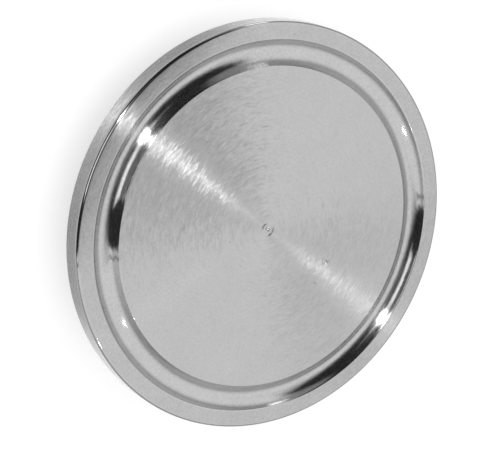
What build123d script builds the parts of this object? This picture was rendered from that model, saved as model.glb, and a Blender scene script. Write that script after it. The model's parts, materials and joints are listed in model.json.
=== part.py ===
"""Solid end cap for a 1 1/2 inch sanitary clamp joint, turned in one piece from stainless bar.

The cap closes the end of a pipe. A rubber gasket lies between it and the pipe's own flange, and a
hinged clamp pulls the two together by a wedge-shaped back face. One solid of revolution about Z:

    sealing face    flat, on top, with a round-bottomed groove that holds the gasket's bead
    rim             the plain cylinder that the clamp closes round
    clamp bevel     the cone behind the rim, which the clamp's jaws ride on
    back flat       the round land left between the bevel and the axis, on which the cap lies

Frame: millimetres, +Z up, origin at the centre of the back flat, sealing face up.
"""

import os
from math import radians, sqrt, tan

from build123d import *

# ---- driving dimensions, millimetres and degrees ----------------------------------------------
flange_diameter = 50.5  # outside of the rim
rim_thickness = 2.85  # from the sealing face to the start of the clamp bevel
overall_thickness = 6.35  # from the sealing face to the back flat: quarter-inch bar
bevel_angle = 20.0  # between the clamp bevel and the plane of the flange

groove_nose_radius = 1.65  # round nose of the form tool that cuts the gasket groove
groove_depth = 0.95  # below the sealing face
outer_land_width = 2.22  # flat ring from the groove to the outside of the rim, edges included

inner_lip_chamfer = 0.08  # groove's edge on the side of the axis, barely broken
outer_lip_chamfer = 0.13  # groove's edge on the side of the rim
rim_back_chamfer = 0.25  # between the rim and the clamp bevel
face_edge_radius = 0.5  # between the sealing face and the rim
back_edge_radius = 0.6  # between the clamp bevel and the back flat

centre_mark_diameter = 0.9  # hollow that facing the bar leaves on the axis
centre_mark_depth = 0.12

# ---- what follows from them ---------------------------------------------------------------------
flange_radius = flange_diameter / 2
bevel_height = overall_thickness - rim_thickness
back_flat_radius = flange_radius - bevel_height / tan(radians(bevel_angle))
groove_half_width = sqrt(groove_depth * (2 * groove_nose_radius - groove_depth))
groove_radius = flange_radius - outer_land_width - groove_half_width  # to the groove's middle


def blank_section():
    """Half section of the faced and bevelled blank, between the axis and the outline."""
    outline = Polyline(
        (0, 0),
        (back_flat_radius, 0),
        (flange_radius, bevel_height),
        (flange_radius, overall_thickness),
        (0, overall_thickness),
        close=True,
    )
    return make_face(outline)


def groove_tool():
    """Section of the groove's form tool at full depth; the rest of its nose is above the face."""
    nose_height = overall_thickness - groove_depth + groove_nose_radius
    return Pos(groove_radius, nose_height) * Circle(groove_nose_radius)


def centre_mark():
    """Half section of the shallow cone on the axis."""
    outline = Polyline(
        (0, overall_thickness),
        (0, overall_thickness - centre_mark_depth),
        (centre_mark_diameter / 2, overall_thickness),
        close=True,
    )
    return make_face(outline)


def corner_at(section, place):
    """The section's corner that lies nearest to a point."""
    return section.vertices().sort_by_distance(place)[0]


def cap_section():
    """The whole half section, with the groove cut and every turned edge broken."""
    section = blank_section() - groove_tool() - centre_mark()
    chamfered = [
        ((groove_radius - groove_half_width, overall_thickness), inner_lip_chamfer),
        ((groove_radius + groove_half_width, overall_thickness), outer_lip_chamfer),
        ((flange_radius, bevel_height), rim_back_chamfer),
    ]
    rounded = [
        ((flange_radius, overall_thickness), face_edge_radius),
        ((back_flat_radius, 0), back_edge_radius),
    ]
    for place, width in chamfered:
        section = chamfer(corner_at(section, place), width)
    for place, radius in rounded:
        section = fillet(corner_at(section, place), radius)
    return section


def end_cap():
    """The section turned about the axis: the whole cap is one piece of bar."""
    return revolve(Plane.XZ * cap_section(), Axis.Z)


if __name__ == "__main__":
    os.makedirs("parts", exist_ok=True)
    cap = end_cap()
    export_step(cap, "parts/end_cap.step")
    print(f"end_cap: {cap.volume:.1f} mm3, {len(cap.faces())} faces")
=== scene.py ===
# %% [markdown]
# # A turned stainless end cap in a light tent
#
# The object is a solid steel cap that closes the end of a clamped pipe. It was turned in one piece on a
# lathe, so everything about its look comes from that: rings of fine tool marks on every face, a groove cut
# with a round-nosed tool, and edges broken just enough not to cut a hand. There are three things to make:
# the surface itself, the finish that each cut left on it, and the light tent that it stands in. Polished
# and brushed metal shows mostly its surroundings, so the tent matters as much as the metal.

import json
from math import asin, cos, degrees, radians, sin, sqrt

import bpy
import numpy as np
from mathutils import Matrix, Vector


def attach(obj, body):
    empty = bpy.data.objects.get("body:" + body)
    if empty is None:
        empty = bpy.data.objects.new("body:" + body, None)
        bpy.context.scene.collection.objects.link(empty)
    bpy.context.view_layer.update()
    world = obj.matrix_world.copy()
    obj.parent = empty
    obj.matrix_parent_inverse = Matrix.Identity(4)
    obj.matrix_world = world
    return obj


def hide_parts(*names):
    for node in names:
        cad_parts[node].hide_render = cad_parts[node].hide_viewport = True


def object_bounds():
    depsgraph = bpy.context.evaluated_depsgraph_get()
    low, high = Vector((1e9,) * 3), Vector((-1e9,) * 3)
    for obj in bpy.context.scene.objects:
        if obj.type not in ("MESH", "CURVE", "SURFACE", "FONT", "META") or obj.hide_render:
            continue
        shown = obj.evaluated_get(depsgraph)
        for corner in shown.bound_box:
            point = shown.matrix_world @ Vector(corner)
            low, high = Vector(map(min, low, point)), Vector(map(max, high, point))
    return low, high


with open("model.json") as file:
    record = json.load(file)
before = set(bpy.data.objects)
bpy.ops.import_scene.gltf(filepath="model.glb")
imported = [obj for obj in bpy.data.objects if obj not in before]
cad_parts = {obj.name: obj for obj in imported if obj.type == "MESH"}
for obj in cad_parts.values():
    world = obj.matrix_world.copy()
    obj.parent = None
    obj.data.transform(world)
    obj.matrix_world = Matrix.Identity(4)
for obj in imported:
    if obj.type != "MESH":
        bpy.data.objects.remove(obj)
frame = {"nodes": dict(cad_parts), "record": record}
cad_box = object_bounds()
print("nodes", list(frame["nodes"]), "box", cad_box)

# %% [markdown]
# ## Sizes
#
# Every size that the record states is read from it, so the surface follows the solid if that changes: the
# flange from the box, the groove's middle and bottom and the clamp bevel from the mounts. Only what the
# record doesn't state, such as the nose of the groove's tool and the broken edges, is named here. All
# lengths in this part of the script are millimetres, and they become metres as the mesh is made.

# %% Sizes in millimetres
MM = 0.001
mounts = {mount["name"]: mount for mount in frame["record"]["mounts"]}

flange_radius = cad_box[1][0] / MM
thickness = cad_box[1][2] / MM
groove_radius = mounts["gasket_groove"]["pos_m"][0] / MM
groove_bottom = mounts["gasket_groove"]["pos_m"][2] / MM
bevel_axis = mounts["clamp_bevel"]["axis"]
bevel_point = np.array(mounts["clamp_bevel"]["pos_m"]) / MM

groove_nose = 1.65  # radius of the form tool that cut the groove
inner_wall = radians(44)  # how steeply the groove's wall towards the axis runs out, above the curve
outer_wall = radians(53)  # the same for the wall towards the rim
inner_lip = 0.15  # radius on the groove's edge towards the axis
outer_lip = 0.25  # radius on the groove's edge towards the rim
land_edge = 1.70  # where the land begins to fall away, measured in from the rim
land_fall = radians(2.5)  # how steeply it falls where the front edge's radius begins
face_edge = 0.42  # radius of the front edge, between the land and the rim
rim_back = 0.25  # radius between the rim and the clamp bevel
back_edge = 0.60  # radius between the clamp bevel and the back flat
back_fan = 0.50  # radius of the fan of triangles that closes the back

mark_reach = 1.20  # how far the tool's nib marked the middle of the face
pit_depth, pit_width = 0.13, 0.20  # the pit that it left on the axis
ring_depth, ring_radius, ring_width = 0.042, 0.75, 0.12  # the fine ring round the pit
dent_place = 0.5, 9.8  # the middle of a knock, about half-way out on the face
dent_depth, dent_width, dent_reach = 0.12, 0.38, 1.0

bevel_angle = asin(bevel_axis[0])
bevel_rise = np.tan(bevel_angle)
rim_height = bevel_point[2] + (flange_radius - bevel_point[0]) * bevel_rise
back_flat = bevel_point[0] - bevel_point[2] / bevel_rise
print(f"flange radius {flange_radius:.2f}, groove at {groove_radius:.2f}")
print(f"the bevel, {degrees(bevel_angle):.1f} degrees, meets the rim at height {rim_height:.2f}")
print(f"and the back at radius {back_flat:.2f}")

# %% [markdown]
# ## The cap's surface
#
# A turned part is a profile carried round an axis. Blender's Screw modifier or a lathed curve could do
# it, but a worked-out profile has its points exactly where the arcs begin and end, and each stretch of
# it can carry a finish of its own. The profile is a chain of short stretches, each an array of points
# (radius, height). Corners are arcs that touch both of their neighbours, so that the shading runs on
# without a crease, as it does on a broken edge of steel.

# %% Stretches of the profile


def arc(centre, radius, start, end, count):
    """Points on a circle: centre + radius (cos a, sin a), with a running from start to end in radians."""
    angle = np.linspace(start, end, count)
    return np.stack([centre[0] + radius * np.cos(angle), centre[1] + radius * np.sin(angle)], axis=1)


def straight(start, end, count):
    """Points on a line: start + t (end - start). t eases in and out, so the points lie closer together
    near both ends, where a flat face meets an arc and its shading has to stay flat."""
    t = (1 - np.cos(np.linspace(0, np.pi, count))) / 2
    return np.array(start) + t[:, None] * (np.array(end) - np.array(start))


def centre_mark(radius):
    """Height left by the tool's nib at the axis: a small pit and a fine ring round it. Each is a bell
    curve, exp(-((r - r0) / w)^2), taken from the flat face."""
    pit = pit_depth * np.exp(-((radius / pit_width) ** 2))
    ring = ring_depth * np.exp(-(((radius - ring_radius) / ring_width) ** 2))
    return -pit - ring


def dent(x, y):
    """Height left by the one knock that the face has taken: a bell curve in the distance from its middle,
    -depth exp(-(d / w)^2)."""
    away = np.hypot(x - dent_place[0], y - dent_place[1])
    return -dent_depth * np.exp(-((away / dent_width) ** 2))


# %% [markdown]
# Each groove wall leaves the nose circle where the circle is as steep as the wall, and would meet the face
# at a sharp edge. A lip of radius r that touches both the wall and the face has its centre r below the face
# and r tan(wall / 2) beyond that edge. The land curves down towards the rim on one large, shallow arc.

# %% The half section


def lip_centre(nose_centre, side, wall, lip):
    """Centre of the lip on one side of the groove: -1 is towards the axis and 1 towards the rim."""
    foot = nose_centre + groove_nose * np.array([side * sin(wall), -cos(wall)])
    edge = foot[0] + side * (thickness - foot[1]) / np.tan(wall)
    return np.array([edge + side * lip * np.tan(wall / 2), thickness - lip])


def cap_profile():
    """The closed half section from the middle of the sealing face round to the middle of the back, as
    (finish, points) stretches. The last number of each stretch is how many points it has: a tight curve
    has many for its size, because reflections show every flat."""
    quarter = radians(90)
    back_tangent = bevel_angle - quarter

    middle_radius = np.linspace(0, mark_reach, 25)[1:]
    middle = np.stack([middle_radius, thickness + centre_mark(middle_radius)], axis=1)
    dent_radius = np.hypot(*dent_place) + np.linspace(-dent_reach, dent_reach, 21)
    dent_rings = np.stack([dent_radius, np.full(len(dent_radius), thickness)], axis=1)

    nose_centre = np.array([groove_radius, groove_bottom + groove_nose])
    inner = lip_centre(nose_centre, -1, inner_wall, inner_lip)
    outer = lip_centre(nose_centre, 1, outer_wall, outer_lip)
    inner_arc = arc(inner, inner_lip, quarter, quarter - inner_wall, 8)
    nose = arc(nose_centre, groove_nose, -quarter - inner_wall, -quarter + outer_wall, 45)
    outer_arc = arc(outer, outer_lip, quarter + outer_wall, quarter, 8)

    fall_start = flange_radius - land_edge
    fall_end = flange_radius - face_edge * (1 - sin(land_fall))
    fall_radius = (fall_end - fall_start) / sin(land_fall)
    fall_depth = fall_radius * (1 - cos(land_fall))
    land_arc = arc((fall_start, thickness - fall_radius), fall_radius, quarter, quarter - land_fall, 8)
    face_corner = (flange_radius - face_edge, thickness - fall_depth - face_edge * cos(land_fall))
    face_arc = arc(face_corner, face_edge, quarter - land_fall, 0, 15)

    rim_lift = rim_back * (1 - sin(bevel_angle)) / cos(bevel_angle)
    rim_arc = arc((flange_radius - rim_back, rim_height + rim_lift), rim_back, 0, back_tangent, 9)
    back_corner = (back_flat - back_edge * np.tan(bevel_angle / 2), back_edge)
    back_arc = arc(back_corner, back_edge, back_tangent, -quarter, 7)
    return [
        ("faced", middle),
        ("faced", straight(middle[-1], dent_rings[0], 20)),
        ("faced", dent_rings),
        ("faced", straight(dent_rings[-1], (inner[0], thickness), 24)),
        ("grooved", inner_arc),
        ("grooved", straight(inner_arc[-1], nose[0], 5)),
        ("grooved", nose),
        ("grooved", straight(nose[-1], outer_arc[0], 5)),
        ("grooved", outer_arc),
        ("land", straight((outer[0], thickness), (fall_start, thickness), 10)),
        ("land", land_arc),
        ("edge", face_arc),
        ("rim", straight(face_arc[-1], rim_arc[0], 10)),
        ("rim", rim_arc),
        ("rim", straight(rim_arc[-1], back_arc[0], 16)),
        ("faced", back_arc),
        ("faced", straight(back_arc[-1], (back_fan, 0), 30)),
    ]


profile = cap_profile()
for finish, points in profile:
    print(f"{finish:8s} {len(points):3d} points from {points[0].round(2)} to {points[-1].round(2)}")

# %% [markdown]
# Turning the profile gives a grid of points, one row for each point of the profile and one column for each
# step round the axis: x = r cos a, y = r sin a, z = z. The whole grid is two array products. Both poles
# are a single point with a fan of triangles, so that the skin is closed, and the corners of every face
# are listed so that its normal points out of the steel.

# %% Turn the profile into a mesh
STEPS = 384  # columns round the axis, a multiple of four so that the widest points lie on X and Y
SAME_POINT = 1e-6  # mm, between points that count as one
FACE_DEPTH = 0.01  # mm below the sealing face, to which a point counts as part of it


def joined(stretches):
    """The stretches as one list of points, without the doubled point where two of them meet, and the
    finish of the ring of faces that leads to each point."""
    finishes, points = [stretches[0][0]], [stretches[0][1][:1]]
    for finish, stretch in stretches:
        fresh = stretch[np.linalg.norm(stretch - points[-1][-1], axis=1) > SAME_POINT]
        points.append(fresh)
        finishes += [finish] * len(fresh)
    return np.concatenate(points), finishes


def turned_mesh(name, stretches, top, bottom):
    """Rings of quads between the turned points, and a fan of triangles at each pole. The dent lowers
    the points that lie on the sealing face."""
    points, finishes = joined(stretches)
    angle = np.arange(STEPS) / STEPS * 2 * np.pi
    x = points[:, :1] * np.cos(angle)
    y = points[:, :1] * np.sin(angle)
    z = np.repeat(points[:, 1:], STEPS, axis=1)
    on_face = z > thickness - FACE_DEPTH
    z = z + np.where(on_face, dent(x, y), 0)
    grid = np.stack([x, y, z], axis=-1).reshape(-1, 3)
    verts = np.concatenate([grid, [[0, 0, top], [0, 0, bottom]]]) * MM

    rows = len(points)
    ring = np.arange(STEPS)
    following = np.roll(ring, -1)
    start = np.arange(rows - 1)[:, None] * STEPS
    quads = np.stack([start + ring, start + STEPS + ring, start + STEPS + following, start + following], -1)
    last = (rows - 1) * STEPS
    cap_top = np.stack([np.full(STEPS, rows * STEPS), ring, following], -1)
    cap_bottom = np.stack([np.full(STEPS, rows * STEPS + 1), last + following, last + ring], -1)

    mesh = bpy.data.meshes.new(name)
    faces = quads.reshape(-1, 4).tolist() + cap_top.tolist() + cap_bottom.tolist()
    mesh.from_pydata(verts.tolist(), [], faces)
    mesh.polygons.foreach_set("use_smooth", np.ones(len(mesh.polygons), dtype=bool))
    order = list(dict.fromkeys(finishes))
    of_ring = np.array([order.index(finish) for finish in finishes])
    slots = np.concatenate([np.repeat(of_ring[1:rows], STEPS), np.full(2 * STEPS, of_ring[0])])
    mesh.polygons.foreach_set("material_index", slots.astype(np.int32))
    mesh.update()
    return mesh, order


cap_mesh, finish_order = turned_mesh("end_cap_skin", profile, thickness + centre_mark(0), 0)
cap = bpy.data.objects.new("end_cap_skin", cap_mesh)
bpy.context.scene.collection.objects.link(cap)
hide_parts("end_cap")
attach(cap, "root")
print("cap:", len(cap_mesh.vertices), "points,", len(cap_mesh.polygons), "faces, finishes", finish_order)

# %% [markdown]
# ## Helpers for materials
#
# Colours are picked as sRGB hex values, as on a screen, and Blender's shaders work on linear light, so one
# function turns the one into the other. One more adds a node. What goes into its sockets is given in one
# list: an output of an earlier node is linked, and anything else is put in as a plain value.

# %% Helpers
MATH = "ShaderNodeMath"
VECTOR = "ShaderNodeVectorMath"


def linear(hex_colour):
    """sRGB hex to linear: c / 12.92 near black, ((c + 0.055) / 1.055) ^ 2.4 above it."""
    values = np.array([int(hex_colour[i : i + 2], 16) for i in (1, 3, 5)]) / 255
    light = np.where(values <= 0.04045, values / 12.92, ((values + 0.055) / 1.055) ** 2.4)
    return (*light, 1.0)


def add_node(tree, kind, sockets=(), **settings):
    """Adds a node to a tree, with settings on the node itself and links or plain values in its sockets."""
    node = tree.nodes.new(kind)
    for name, value in settings.items():
        setattr(node, name, value)
    for socket, value in dict(sockets).items():
        if isinstance(value, bpy.types.NodeSocket):
            tree.links.new(value, node.inputs[socket])
        else:
            node.inputs[socket].default_value = value
    return node


def fresh_tree(owner):
    """An empty node tree for a material or a world."""
    owner.use_nodes = True
    owner.node_tree.nodes.clear()
    return owner.node_tree


# %% [markdown]
# ## Turned stainless steel
#
# The cap is austenitic stainless steel, the 304 or 316 of every dairy and brewery: a neutral grey metal that
# reflects a little over half of the light. The lathe's tool leaves a spiral of grooves a tenth of a
# millimetre apart. Across the grooves the surface tips up and down steeply, along them hardly at all, and
# this is what draws the bright blade of light across a turned face: a lamp shows wherever the grooves run
# square to it. Painting the blade would be wrong from every other side, so the shader does it, with strong
# anisotropy and a tangent that runs along the marks.
#
# A perfect anisotropic blade is as smooth as silk, though, and a real one is broken into short bright
# scratches, because each mark wanders and tips by itself. So each spot's normal is tipped a little, by
# noise that is drawn out along the marks, and the same noise makes some marks rougher than others. A finer
# noise makes the steel a touch lighter and darker, a much slower one clouds it, and a few cells of a third
# pattern hold a pit where a hard grain was torn out. The pit has no hollow in the mesh: its darkness is
# painted shade in the colour. Close to the axis the steel hardly moves past the tool, and the rings are less
# clean. There the anisotropy falls off a little, which lets the blade fade as it nears the centre mark.

# %% Finishes of the steel
MARK_PITCH = 0.26  # mm from ring to ring; the real feed of 0.1 mm is too fine to show
MARK_LENGTH = 1.0  # mm along a ring over which a mark keeps its tilt
WANDER_RADIUS = 15.0  # mm; marks wander as much as a finish says at this radius, and more inside it
CALM_RADIUS = 9.0  # mm; the wandering stops growing here, or the middle would look torn
UNEVEN = 0.9  # how much the roughness follows the marks, which makes the blade of light sparkle
DULL_RADIUS = 8.0  # mm; nearer the axis the tool cuts too slowly to leave clean rings
DULL_ANISOTROPY = 0.8  # so the gloss is less directional on the axis than the full 1 farther out
GRAIN_SIZE = 0.25  # mm, the satin grain of the steel; the real one is finer than can be seen
CLOUD_SIZE = 5.0  # mm across the faint clouds that wiping and handling leave
CLOUD_SHARE = 0.6  # how strong the clouds are beside the grain
# The pits are painted shade: darker spots of colour, with no hollow in the mesh
PIT_SPACING = 3.2  # mm between the places that may hold a pit
PIT_RADIUS = 0.16  # mm, as small as still shows
PIT_SHARE = 0.12  # share of those places that do hold one
PIT_PAINTED_SHADE = 0.18  # how much darker a pit is


def turned_stainless(name, colour, roughness, wander, across, grain, to_axis=False):
    """Stainless steel with circular tool marks. wander tips the normal along the marks, which breaks up
    the blade of light, across tips it from ring to ring, and grain is how much the colour varies. to_axis
    is for a cut that runs in to the axis."""
    material = bpy.data.materials.new(name)
    tree = fresh_tree(material)
    place = add_node(tree, "ShaderNodeTexCoord").outputs["Object"]
    x, y, _ = add_node(tree, "ShaderNodeSeparateXYZ", {0: place}).outputs
    level = add_node(tree, "ShaderNodeCombineXYZ", {0: x, 1: y}).outputs[0]
    radius = add_node(tree, VECTOR, {0: level}, operation="LENGTH").outputs["Value"]

    # the direction along the marks is z cross place, and sideways is square to it in the surface
    normal = add_node(tree, "ShaderNodeNewGeometry").outputs["Normal"]
    round_about = add_node(tree, VECTOR, {0: (0, 0, 1), 1: place}, operation="CROSS_PRODUCT").outputs[0]
    along = add_node(tree, VECTOR, {0: round_about}, operation="NORMALIZE").outputs[0]
    sideways = add_node(tree, VECTOR, {0: normal, 1: along}, operation="CROSS_PRODUCT").outputs[0]

    # the marks: noise that changes fast with the radius and the height, and slowly round the axis
    slow = 1 / (MARK_LENGTH * MM)
    fast = 1 / (MARK_PITCH * MM)
    stretched = add_node(tree, VECTOR, {0: place, 1: (slow, slow, fast)}, operation="MULTIPLY").outputs[0]
    outward = add_node(tree, MATH, {0: radius, 1: fast}, operation="MULTIPLY").outputs[0]
    marks = add_node(
        tree,
        "ShaderNodeTexNoise",
        {"Vector": stretched, "W": outward, "Scale": 1.0, "Detail": 2.0, "Roughness": 0.6},
        noise_dimensions="4D",
    ).outputs["Color"]
    centred = add_node(tree, VECTOR, {0: marks, 1: (0.5, 0.5, 0.5)}, operation="SUBTRACT").outputs[0]
    tip_along, tip_across, tip_rough = add_node(tree, "ShaderNodeSeparateXYZ", {0: centred}).outputs

    # the tipped normal: normal + along * lean + sideways * roll, back to length 1
    limited = add_node(tree, MATH, {0: radius, 1: CALM_RADIUS * MM}, operation="MAXIMUM").outputs[0]
    closer = add_node(
        tree, MATH, {0: wander * WANDER_RADIUS * MM, 1: limited}, operation="DIVIDE"
    ).outputs[0]
    lean = add_node(tree, MATH, {0: tip_along, 1: closer}, operation="MULTIPLY").outputs[0]
    roll = add_node(tree, MATH, {0: tip_across, 1: across}, operation="MULTIPLY").outputs[0]
    leant = add_node(tree, VECTOR, {0: along, 1: lean, 2: normal}, operation="MULTIPLY_ADD").outputs[0]
    rolled = add_node(tree, VECTOR, {0: sideways, 1: roll, 2: leant}, operation="MULTIPLY_ADD").outputs[0]
    tipped = add_node(tree, VECTOR, {0: rolled}, operation="NORMALIZE").outputs[0]

    # roughness * (1 + UNEVEN * noise), and a gloss that is fully directional except near the axis
    uneven = add_node(
        tree, MATH, {0: tip_rough, 1: UNEVEN * roughness, 2: roughness}, operation="MULTIPLY_ADD"
    ).outputs[0]
    anisotropy = 1.0
    if to_axis:
        anisotropy = add_node(
            tree,
            "ShaderNodeMapRange",
            {"Value": radius, "From Max": DULL_RADIUS * MM, "To Min": DULL_ANISOTROPY, "To Max": 1.0},
        ).outputs["Result"]

    # colour * (1 + grain * (satin - 1/2) + cloudiness * (clouds - 1/2) - pits), the pits being painted shade
    satin = add_node(
        tree,
        "ShaderNodeTexNoise",
        {"Vector": place, "Scale": 1 / (GRAIN_SIZE * MM), "Detail": 2.0, "Roughness": 0.6},
    ).outputs[0]
    clouds = add_node(
        tree,
        "ShaderNodeTexNoise",
        {"Vector": place, "Scale": 1 / (CLOUD_SIZE * MM), "Detail": 3.0, "Roughness": 0.7},
    ).outputs[0]
    cells = add_node(tree, "ShaderNodeTexVoronoi", {"Vector": place, "Scale": 1 / (PIT_SPACING * MM)}).outputs
    chance = add_node(tree, "ShaderNodeSeparateXYZ", {0: cells["Color"]}).outputs[0]
    chosen = add_node(tree, MATH, {0: chance, 1: PIT_SHARE}, operation="LESS_THAN").outputs[0]
    near = add_node(
        tree, MATH, {0: cells["Distance"], 1: PIT_RADIUS / PIT_SPACING}, operation="LESS_THAN"
    ).outputs[0]
    pit = add_node(tree, MATH, {0: near, 1: chosen}, operation="MULTIPLY").outputs[0]
    cloudiness = CLOUD_SHARE * grain
    base = 1 - (grain + cloudiness) / 2
    grained = add_node(tree, MATH, {0: satin, 1: grain, 2: base}, operation="MULTIPLY_ADD").outputs[0]
    clouded = add_node(
        tree, MATH, {0: clouds, 1: cloudiness, 2: grained}, operation="MULTIPLY_ADD"
    ).outputs[0]
    amount = add_node(tree, MATH, {0: pit, 1: -PIT_PAINTED_SHADE, 2: clouded}, operation="MULTIPLY_ADD").outputs[0]
    shade = add_node(tree, VECTOR, {0: linear(colour)[:3], "Scale": amount}, operation="SCALE").outputs[0]

    steel = add_node(
        tree,
        "ShaderNodeBsdfPrincipled",
        {
            "Base Color": shade,
            "Metallic": 1.0,
            "Roughness": uneven,
            "Anisotropic": anisotropy,
            "Anisotropic Rotation": 0.25,  # a quarter turn, so that the gloss spreads across the marks
            "Tangent": along,
            "Normal": tipped,
        },
    )
    add_node(tree, "ShaderNodeOutputMaterial", {0: steel.outputs[0]})
    return material


# The land and the rim are the same steel as the face, given a slightly darker grey as painted shade
finishes = {
    "faced": turned_stainless("faced_stainless", "#C2C2C2", 0.19, 0.18, 0.14, 0.18, to_axis=True),
    "grooved": turned_stainless("form_cut_stainless", "#C6C6C6", 0.13, 0.06, 0.10, 0.36),
    "land": turned_stainless("turned_land_stainless", "#BEBEBE", 0.18, 0.02, 0.12, 0.36),
    "edge": turned_stainless("broken_edge_stainless", "#C2C2C2", 0.09, 0.04, 0.06, 0.30),
    "rim": turned_stainless("turned_rim_stainless", "#BEBEBE", 0.27, 0.04, 0.12, 0.36),
}
for finish in finish_order:
    cap_mesh.materials.append(finishes[finish])
print("finishes:", [material.name for material in cap_mesh.materials])

# %% [markdown]
# ## The floor
#
# The cap lies on a sheet of pale card. The card is a plain matt material, so it takes the cap's soft
# shadow. A little light of its own, seen only by the camera, lifts it to the white of a cleared background
# without putting more light on the steel. The lift goes a little past white, so that only the shadow close
# to the cap stays visible.
#
# The polished rim mirrors the card beside it. A real sheet in a tent is bright where the tent's light
# reaches it, beside and behind the cap, and dim in front, where the opening is. So the card has a second
# light, seen only by reflections, that is strong beside the cap and fades towards the front and outwards.

# %% Floor
SKY_LIGHT = 0.95  # strength of the plain world that lights the card
PAPER = "#C8C8C8"
FLOOR_WHITE = 1.10  # what the camera sees of the card where no shadow falls
FLOOR_REACH = 1.5  # m, from the middle to each edge
DIM_CARD, BRIGHT_CARD = 0.18, 1.20  # the card's second light, in front of the cap and beside it
FRONT_FROM, FRONT_TO = -21.0, -8.0  # mm along Y, over which the dim front turns bright
FADE_FROM, FADE_TO = 29.0, 33.0  # mm from the axis, over which the bright part ends

floor_mesh = bpy.data.meshes.new("floor")
corners = [(-1, -1, 0), (1, -1, 0), (1, 1, 0), (-1, 1, 0)]
floor_mesh.from_pydata((np.array(corners) * FLOOR_REACH).tolist(), [], [(0, 1, 2, 3)])
floor = bpy.data.objects.new("floor", floor_mesh)
bpy.context.scene.collection.objects.link(floor)

card = bpy.data.materials.new("pale_card")
tree = fresh_tree(card)
paper = add_node(tree, "ShaderNodeBsdfDiffuse", {"Color": linear(PAPER)}).outputs[0]
rays = add_node(tree, "ShaderNodeLightPath").outputs
spot = add_node(tree, "ShaderNodeTexCoord").outputs["Object"]
forward = add_node(tree, "ShaderNodeSeparateXYZ", {0: spot}).outputs[1]
outward = add_node(tree, VECTOR, {0: spot}, operation="LENGTH").outputs["Value"]
beside = add_node(
    tree,
    "ShaderNodeMapRange",
    {
        "Value": forward,
        "From Min": FRONT_FROM * MM,
        "From Max": FRONT_TO * MM,
        "To Min": DIM_CARD,
        "To Max": BRIGHT_CARD,
    },
    interpolation_type="SMOOTHSTEP",
).outputs["Result"]
bounced = add_node(
    tree,
    "ShaderNodeMapRange",
    {
        "Value": outward,
        "From Min": FADE_FROM * MM,
        "From Max": FADE_TO * MM,
        "To Min": beside,
        "To Max": DIM_CARD,
    },
    interpolation_type="SMOOTHSTEP",
).outputs["Result"]
missing = FLOOR_WHITE - SKY_LIGHT * linear(PAPER)[0]  # what the lit card lacks of that white
mirrored = add_node(tree, MATH, {0: rays["Is Glossy Ray"], 1: bounced}, operation="MULTIPLY").outputs[0]
lift = add_node(
    tree, MATH, {0: rays["Is Camera Ray"], 1: missing, 2: mirrored}, operation="MULTIPLY_ADD"
).outputs[0]
glow = add_node(tree, "ShaderNodeEmission", {"Color": (1, 1, 1, 1), "Strength": lift}).outputs[0]
both = add_node(tree, "ShaderNodeAddShader", {0: paper, 1: glow}).outputs[0]
add_node(tree, "ShaderNodeOutputMaterial", {0: both})
floor_mesh.materials.append(card)
print(f"card lacks {missing:.2f} of white")

# %% [markdown]
# ## The light tent
#
# Shiny parts are best shown inside a small white tent, which is bright from every side. It is open towards
# the camera, and this opening is what the groove shows as its black bands. A tent only a foot or so away
# looks different from the near edge of the cap and from the far edge, so it is a real dome here and not a
# picture on the world behind everything. Only reflections see it: the light that falls on the floor comes
# from a plain white world, which has no noise.

# %% The dome
TENT_RADIUS = 0.376  # m
AROUND, UPWARD = 96, 24  # panels of cloth round the tent, and from its hem to the top

turn, climb = np.meshgrid(
    np.linspace(0, 2 * np.pi, AROUND + 1), np.linspace(0, np.pi / 2, UPWARD + 1), indexing="ij"
)
dome_x = np.cos(turn) * np.cos(climb)
dome_y = np.sin(turn) * np.cos(climb)
dome_z = np.sin(climb)
dome_points = TENT_RADIUS * np.stack([dome_x, dome_y, dome_z], axis=-1).reshape(-1, 3)
column, row = np.meshgrid(np.arange(AROUND), np.arange(UPWARD), indexing="ij")
below = (column * (UPWARD + 1) + row).reshape(-1)
beyond = below + UPWARD + 1
dome_faces = np.stack([below, below + 1, beyond + 1, beyond], axis=-1)

dome_mesh = bpy.data.meshes.new("tent")
dome_mesh.from_pydata(dome_points.tolist(), [], dome_faces.tolist())
dome = bpy.data.objects.new("tent", dome_mesh)
bpy.context.scene.collection.objects.link(dome)
dome.visible_camera = False
dome.visible_diffuse = False
dome.visible_shadow = False
print("tent:", len(dome_mesh.polygons), "panels")

# %% [markdown]
# The dome's brightness is painted by direction. Seen from above, with (0, 0) overhead and the horizon a
# circle of radius 1, each patch has straight edges, and which side of a line a point lies on is one dot
# product. A patch is then the product of the sides it keeps to: 1 where all of them are 1. The patches are
# laid over each other in order, each with a brightness where 1 is white.

# %% Masks for the tent's cloth
cloth = bpy.data.materials.new("tent_cloth")
cloth.cycles.emission_sampling = "NONE"
tree = fresh_tree(cloth)
spot = add_node(tree, "ShaderNodeTexCoord").outputs["Object"]
direction = add_node(tree, VECTOR, {0: spot}, operation="NORMALIZE").outputs[0]
plan = add_node(tree, VECTOR, {0: direction, 1: (1, 1, 0)}, operation="MULTIPLY").outputs[0]
height = add_node(tree, "ShaderNodeSeparateXYZ", {0: direction}).outputs[2]


def past_line(point, heading, soft):
    """1 for directions on the left of a line in plan, through point and along heading in degrees, and 0
    on its right, with a soft step of twice the softness between them."""
    heading = radians(heading)
    left = (-sin(heading), cos(heading), 0)
    offset = left[0] * point[0] + left[1] * point[1]
    dot = add_node(tree, VECTOR, {0: direction, 1: left}, operation="DOT_PRODUCT").outputs["Value"]
    return add_node(
        tree,
        "ShaderNodeMapRange",
        {"Value": dot, "From Min": offset - soft, "From Max": offset + soft},
        interpolation_type="SMOOTHSTEP",
    ).outputs["Result"]


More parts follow.
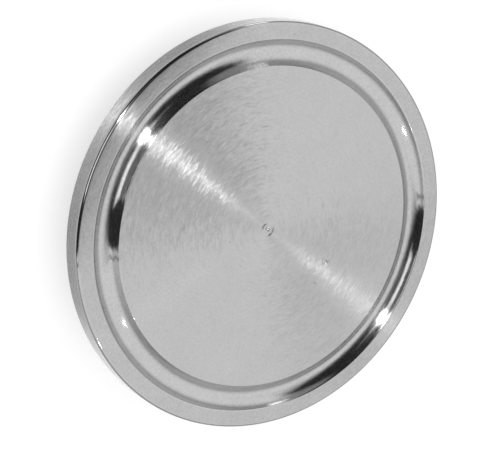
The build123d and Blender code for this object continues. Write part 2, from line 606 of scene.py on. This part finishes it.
def round_spot(middle, radius, soft):
    """1 inside a circle in plan round middle, and 0 outside it, with a soft step between them."""
    gap = add_node(tree, VECTOR, {0: plan, 1: (*middle, 0)}, operation="DISTANCE").outputs["Value"]
    return add_node(
        tree,
        "ShaderNodeMapRange",
        {"Value": gap, "From Min": radius + soft, "From Max": radius - soft},
        interpolation_type="SMOOTHSTEP",
    ).outputs["Result"]


# %% Edges of the opening
APEX = (-0.03, 0.46)  # where the two edges of the opening meet
LEFT_EDGE, RIGHT_EDGE = 215, 302  # headings of the two edges, in degrees
SEAM_NEAR, SEAM_FAR = 0.060, 0.085  # how far beyond the right edge the tent's pale seam lies
HEM_LEVEL = 0.28  # the cloth's brightness at the horizon
across_edge = np.array([cos(radians(RIGHT_EDGE + 90)), sin(radians(RIGHT_EDGE + 90))])

risen = add_node(
    tree,
    "ShaderNodeMapRange",
    {"Value": height, "From Min": 0.08, "From Max": 0.70},
    interpolation_type="SMOOTHSTEP",
).outputs["Result"]
low_down = add_node(
    tree,
    "ShaderNodeMapRange",
    {"Value": height, "From Min": 0.20, "From Max": 0.16},
    interpolation_type="SMOOTHSTEP",
).outputs["Result"]
in_front = past_line((0, -0.20), 180, 0.12)
left_side = past_line(APEX, LEFT_EDGE, 0.10)
right_side = add_node(
    tree,
    "ShaderNodeMix",
    {
        "Factor": in_front,
        "A": past_line(APEX, RIGHT_EDGE - 180, 0.15),  # the cloth hangs loose near the apex,
        "B": past_line(APEX, RIGHT_EDGE - 180, 0.03),  # and is pulled tight in front
    },
).outputs["Result"]

# %% Patches of light and dark
patches = [
    ("white cloth above the hem", 0.98, [risen]),
    ("edge of the opening", 0.30, [left_side, right_side]),
    (
        "the dark room behind the opening",
        0.025,
        [left_side, right_side, past_line((0, 0.22), 180, 0.16), past_line((-0.80, 0), 270, 0.06)],
    ),
    ("the tent's top ring", 0.22, [round_spot((0, 0), 0.11, 0.08)]),
    ("the table in front", 0.16, [past_line((0, -0.90), 180, 0.07)]),
    (
        "the pale seam beside the opening",
        0.25,
        [
            past_line(APEX + SEAM_NEAR * across_edge, RIGHT_EDGE, 0.012),
            past_line(APEX + SEAM_FAR * across_edge, RIGHT_EDGE - 180, 0.012),
            in_front,
        ],
    ),
    (
        "a white card below the lens",
        1.5,
        [
            past_line((-0.12, 0), 270, 0.08),
            past_line((0.27, 0), 90, 0.03),
            past_line((0, -0.45), 180, 0.13),
            past_line((0, -0.77), 0, 0.04),
        ],
    ),
    ("the flash's grey housing", 0.35, [round_spot((-0.34, -0.45), 0.04, 0.12)]),
    ("light spilt round the flash", 1.6, [round_spot((-0.19, -0.50), 0.06, 0.12)]),
    (
        "a low window on the left",
        3.2,
        [
            low_down,
            past_line((0, -0.03), 180, 0.03),
            past_line((0, -0.18), 0, 0.03),
            past_line((-0.5, 0), 90, 0.1),
        ],
    ),
]
light = HEM_LEVEL
for title, brightness, sides in patches:
    cover = sides[0]
    for side in sides[1:]:
        cover = add_node(tree, MATH, {0: cover, 1: side}, operation="MULTIPLY").outputs[0]
    light = add_node(tree, "ShaderNodeMix", {"Factor": cover, "A": light, "B": brightness}).outputs["Result"]
    print(f"{brightness:5.3f} {title}")
shine = add_node(tree, "ShaderNodeEmission", {"Color": (1, 1, 1, 1), "Strength": light}).outputs[0]
add_node(tree, "ShaderNodeOutputMaterial", {0: shine})
dome_mesh.materials.append(cloth)

# %% [markdown]
# ## The world
#
# A plain white world gives the soft light on the floor. The camera sees it at a strength of 1, which is
# white, and reflections don't see it at all, because the tent stands in front of it.

# %% White world behind it all
world = bpy.data.worlds.new("white_world")
bpy.context.scene.world = world
world.cycles_visibility.glossy = False
tree = fresh_tree(world)
camera_ray = add_node(tree, "ShaderNodeLightPath").outputs["Is Camera Ray"]
strength = add_node(tree, "ShaderNodeMix", {"Factor": camera_ray, "A": SKY_LIGHT, "B": 1.0}).outputs["Result"]
sky = add_node(tree, "ShaderNodeBackground", {"Color": (1, 1, 1, 1), "Strength": strength}).outputs[0]
add_node(tree, "ShaderNodeOutputWorld", {0: sky})
print("world strength", SKY_LIGHT)

# %% [markdown]
# ## The camera
#
# The camera looks down on the sealing face and is rolled well over, which puts the near side of the rim at
# the left of the picture. A camera is aimed with three axes: it looks along its own -Z, so +Z points from
# the aim back to the camera, and the roll turns X and Y about it.

# %% Camera
AIM = Vector((0.46, -2.51, thickness)) * MM
DISTANCE = 220.3 * MM
ELEVATION = radians(56.26)
AZIMUTH = radians(-0.22)
ROLL = radians(115.8)
LENS, SENSOR = 132.34, 36  # mm: a long lens, as is usual for small parts

backward = Vector((sin(AZIMUTH) * cos(ELEVATION), -cos(AZIMUTH) * cos(ELEVATION), sin(ELEVATION)))
level_right = Vector((0, 0, 1)).cross(backward).normalized()
level_up = backward.cross(level_right)
right = cos(ROLL) * level_right + sin(ROLL) * level_up
up = backward.cross(right)

lens = bpy.data.cameras.new("camera")
lens.lens = LENS
lens.sensor_width = SENSOR
camera = bpy.data.objects.new("camera", lens)
bpy.context.scene.collection.objects.link(camera)
turned = Matrix((right, up, backward)).transposed().to_4x4()
camera.matrix_world = Matrix.Translation(AIM + DISTANCE * backward) @ turned
bpy.context.scene.camera = camera
print("camera at", [round(v / MM, 1) for v in camera.matrix_world.translation])

# %% [markdown]
# ## Two small lamps
#
# A flash beside the lens makes the blade of light, and a second, weak lamp on the right puts a bright point
# on each side of the groove. Both are small discs, so that what they light up stays crisp. Only reflections
# see them: they add nothing to the floor's even light.

# %% Small lamps
face_middle = Vector((0, 0, thickness * MM))


def small_lamp(name, plan_place, distance, size, energy):
    """A round lamp that shines on the middle of the face. Its place in plan is (x, y) on a circle of
    radius 1, as for the tent's patches, and distance and size are metres."""
    toward = Vector((*plan_place, sqrt(1 - plan_place[0] ** 2 - plan_place[1] ** 2)))
    data = bpy.data.lights.new(name, "AREA")
    data.shape = "DISK"
    data.size = size
    data.energy = energy
    lamp = bpy.data.objects.new(name, data)
    bpy.context.scene.collection.objects.link(lamp)
    facing = toward.to_track_quat("Z", "Y").to_matrix().to_4x4()
    lamp.matrix_world = Matrix.Translation(face_middle + distance * toward) @ facing
    lamp.visible_camera = False
    lamp.visible_diffuse = False
    print(name, "at", [round(v / MM) for v in lamp.matrix_world.translation])


small_lamp("flash", (-0.19, -0.52), 0.226, 0.005, 0.70)
small_lamp("spot_lamp", (0.62, 0.13), 0.36, 0.012, 0.022)

# %% [markdown]
# ## View settings
#
# The plain Standard view shows each colour about as it is written.

# %% View settings
bpy.context.scene.view_settings.view_transform = "Standard"
